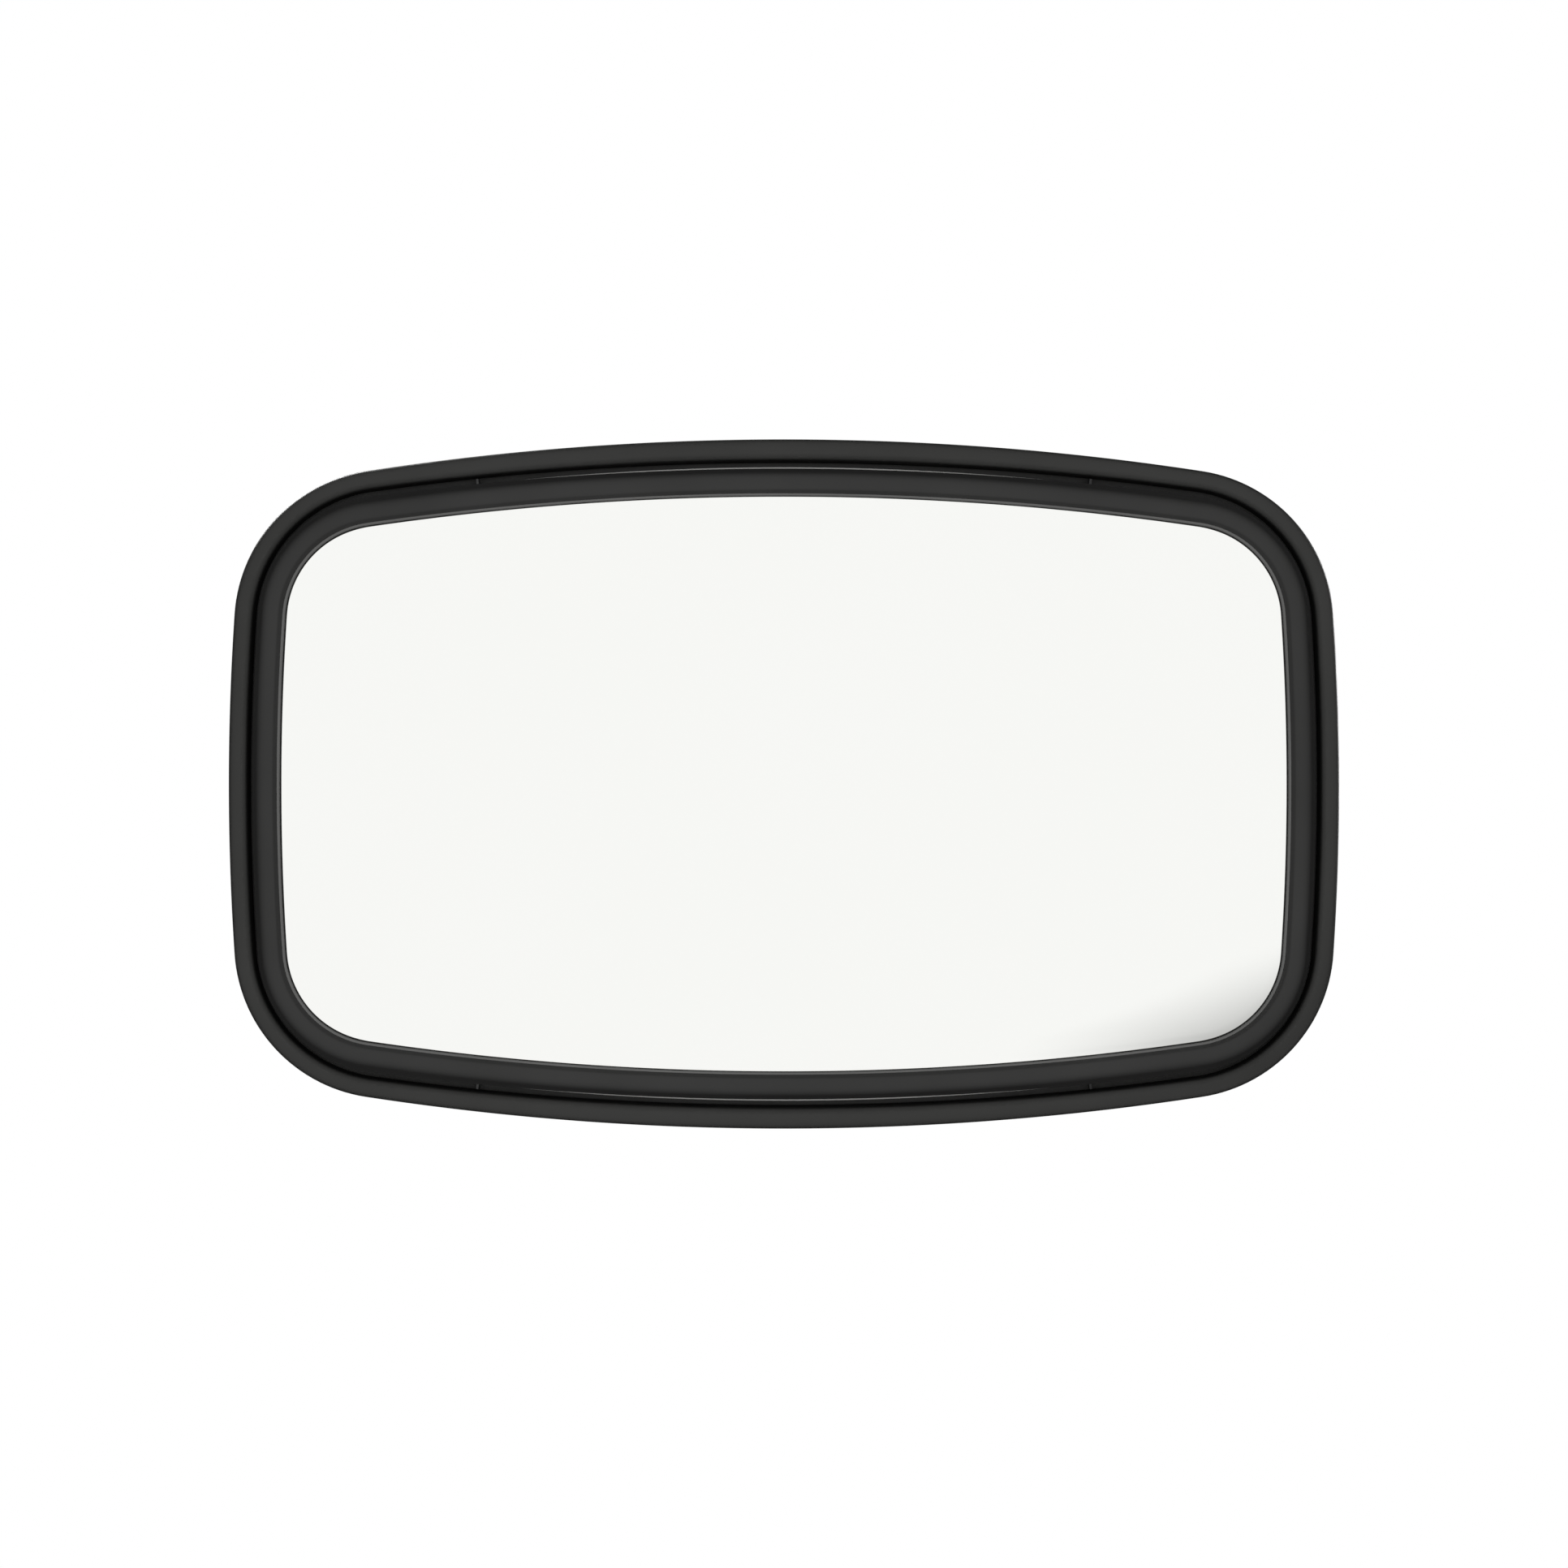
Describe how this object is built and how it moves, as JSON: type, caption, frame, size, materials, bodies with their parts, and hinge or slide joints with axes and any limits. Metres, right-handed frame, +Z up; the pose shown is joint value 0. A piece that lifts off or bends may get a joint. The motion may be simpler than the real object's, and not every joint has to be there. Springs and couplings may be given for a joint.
{
  "type": "convex security mirror",
  "caption": "Rectangular convex wall mirror with a black double-bead frame on a clamped arm that pans, tilts and turns between landscape and portrait.",
  "frame": {"origin": "centre of the wall bracket's back face, which lies on the wall", "axes": "+Z up, +Y into the wall, +X to the right of a person who looks into the mirror, which faces -Y"},
  "size_m": [0.6, 0.341, 0.3726],
  "materials": {
    "frame_plastic": "near-black satin moulded plastic with a fine grain",
    "bezel_rubber": "near-black extruded rubber, satin",
    "seal_rubber": "dark grey rubber lip",
    "strip_plastic": "mid grey sealing strip",
    "clip_steel": "blackened spring steel",
    "gasket_foam": "black closed-cell foam",
    "mirror_face": "clear acrylic sheet, metallised on its back",
    "shell_plastic": "black vacuum-formed sheet with a leather-like grain",
    "zinc_steel": "bright zinc plate",
    "black_screw": "black oxide steel",
    "powder_coat": "black powder coat, fine texture",
    "nylon": "natural nylon",
    "knob_plastic": "black glass-filled nylon",
    "brass": "turned brass",
    "friction_fibre": "brown friction fibre"
  },
  "bodies": {
    "wall_bracket": {"wall_bracket": "powder_coat", "pan_bolt": "zinc_steel", "pan_head_washer": "zinc_steel", "pan_knob_washer": "zinc_steel"},
    "swivel_arm": {"swivel_arm": "powder_coat", "pan_bush_head": "nylon", "pan_bush_knob": "nylon", "tilt_bush_head": "nylon", "tilt_bush_knob": "nylon"},
    "pan_knob": {"pan_knob": "knob_plastic", "pan_knob_insert": "brass"},
    "tilt_bracket": {"tilt_clevis": "powder_coat", "tilt_bolt": "zinc_steel", "tilt_head_washer": "zinc_steel", "tilt_knob_washer": "zinc_steel", "roll_washer": "zinc_steel"},
    "tilt_knob": {"tilt_knob": "knob_plastic", "tilt_knob_insert": "brass"},
    "mirror_head": {"outer_frame": "frame_plastic", "inner_bezel": "bezel_rubber", "lens_seal": "seal_rubber", "lens_gasket": "gasket_foam", "seam_strip": "strip_plastic", "mirror_lens": "mirror_face", "back_shell": "shell_plastic", "reinforcing_plate": "zinc_steel", "roll_bolt": "zinc_steel", "roll_friction_disc": "friction_fibre", "roll_spring_washer": "zinc_steel", "roll_lock_nut": "zinc_steel", "bezel_clip_1": "clip_steel", "bezel_clip_2": "clip_steel", "bezel_clip_3": "clip_steel", "bezel_clip_4": "clip_steel", "frame_screw_01": "black_screw", "frame_screw_02": "black_screw", "frame_screw_03": "black_screw", "frame_screw_04": "black_screw", "frame_screw_05": "black_screw", "frame_screw_06": "black_screw", "frame_screw_07": "black_screw", "frame_screw_08": "black_screw", "frame_screw_09": "black_screw", "frame_screw_10": "black_screw", "plate_screw_1": "zinc_steel", "plate_screw_2": "zinc_steel", "plate_screw_3": "zinc_steel", "plate_screw_4": "zinc_steel"}
  },
  "joints": [
    {"name": "pan", "type": "hinge", "parent": "wall_bracket", "child": "swivel_arm", "pos_m": [0, -0.038, 0], "axis": [0, 0, 1], "range_deg": [-30, 30]},
    {"name": "tilt", "type": "hinge", "parent": "swivel_arm", "child": "tilt_bracket", "pos_m": [0, -0.21, 0], "axis": [1, 0, 0], "range_deg": [-30, 30]},
    {"name": "roll", "type": "hinge", "parent": "tilt_bracket", "child": "mirror_head", "pos_m": [0, -0.254, 0], "axis": [0, 1, 0], "range_deg": [-90, 90]},
    {"name": "pan_knob_turn", "type": "hinge", "parent": "wall_bracket", "child": "pan_knob", "pos_m": [0, -0.038, 0.038], "axis": [0, 0, 1], "range_deg": [0, 270]},
    {"name": "tilt_knob_turn", "type": "hinge", "parent": "tilt_bracket", "child": "tilt_knob", "pos_m": [0.038, -0.21, 0], "axis": [1, 0, 0], "range_deg": [0, 270]}
  ]
}
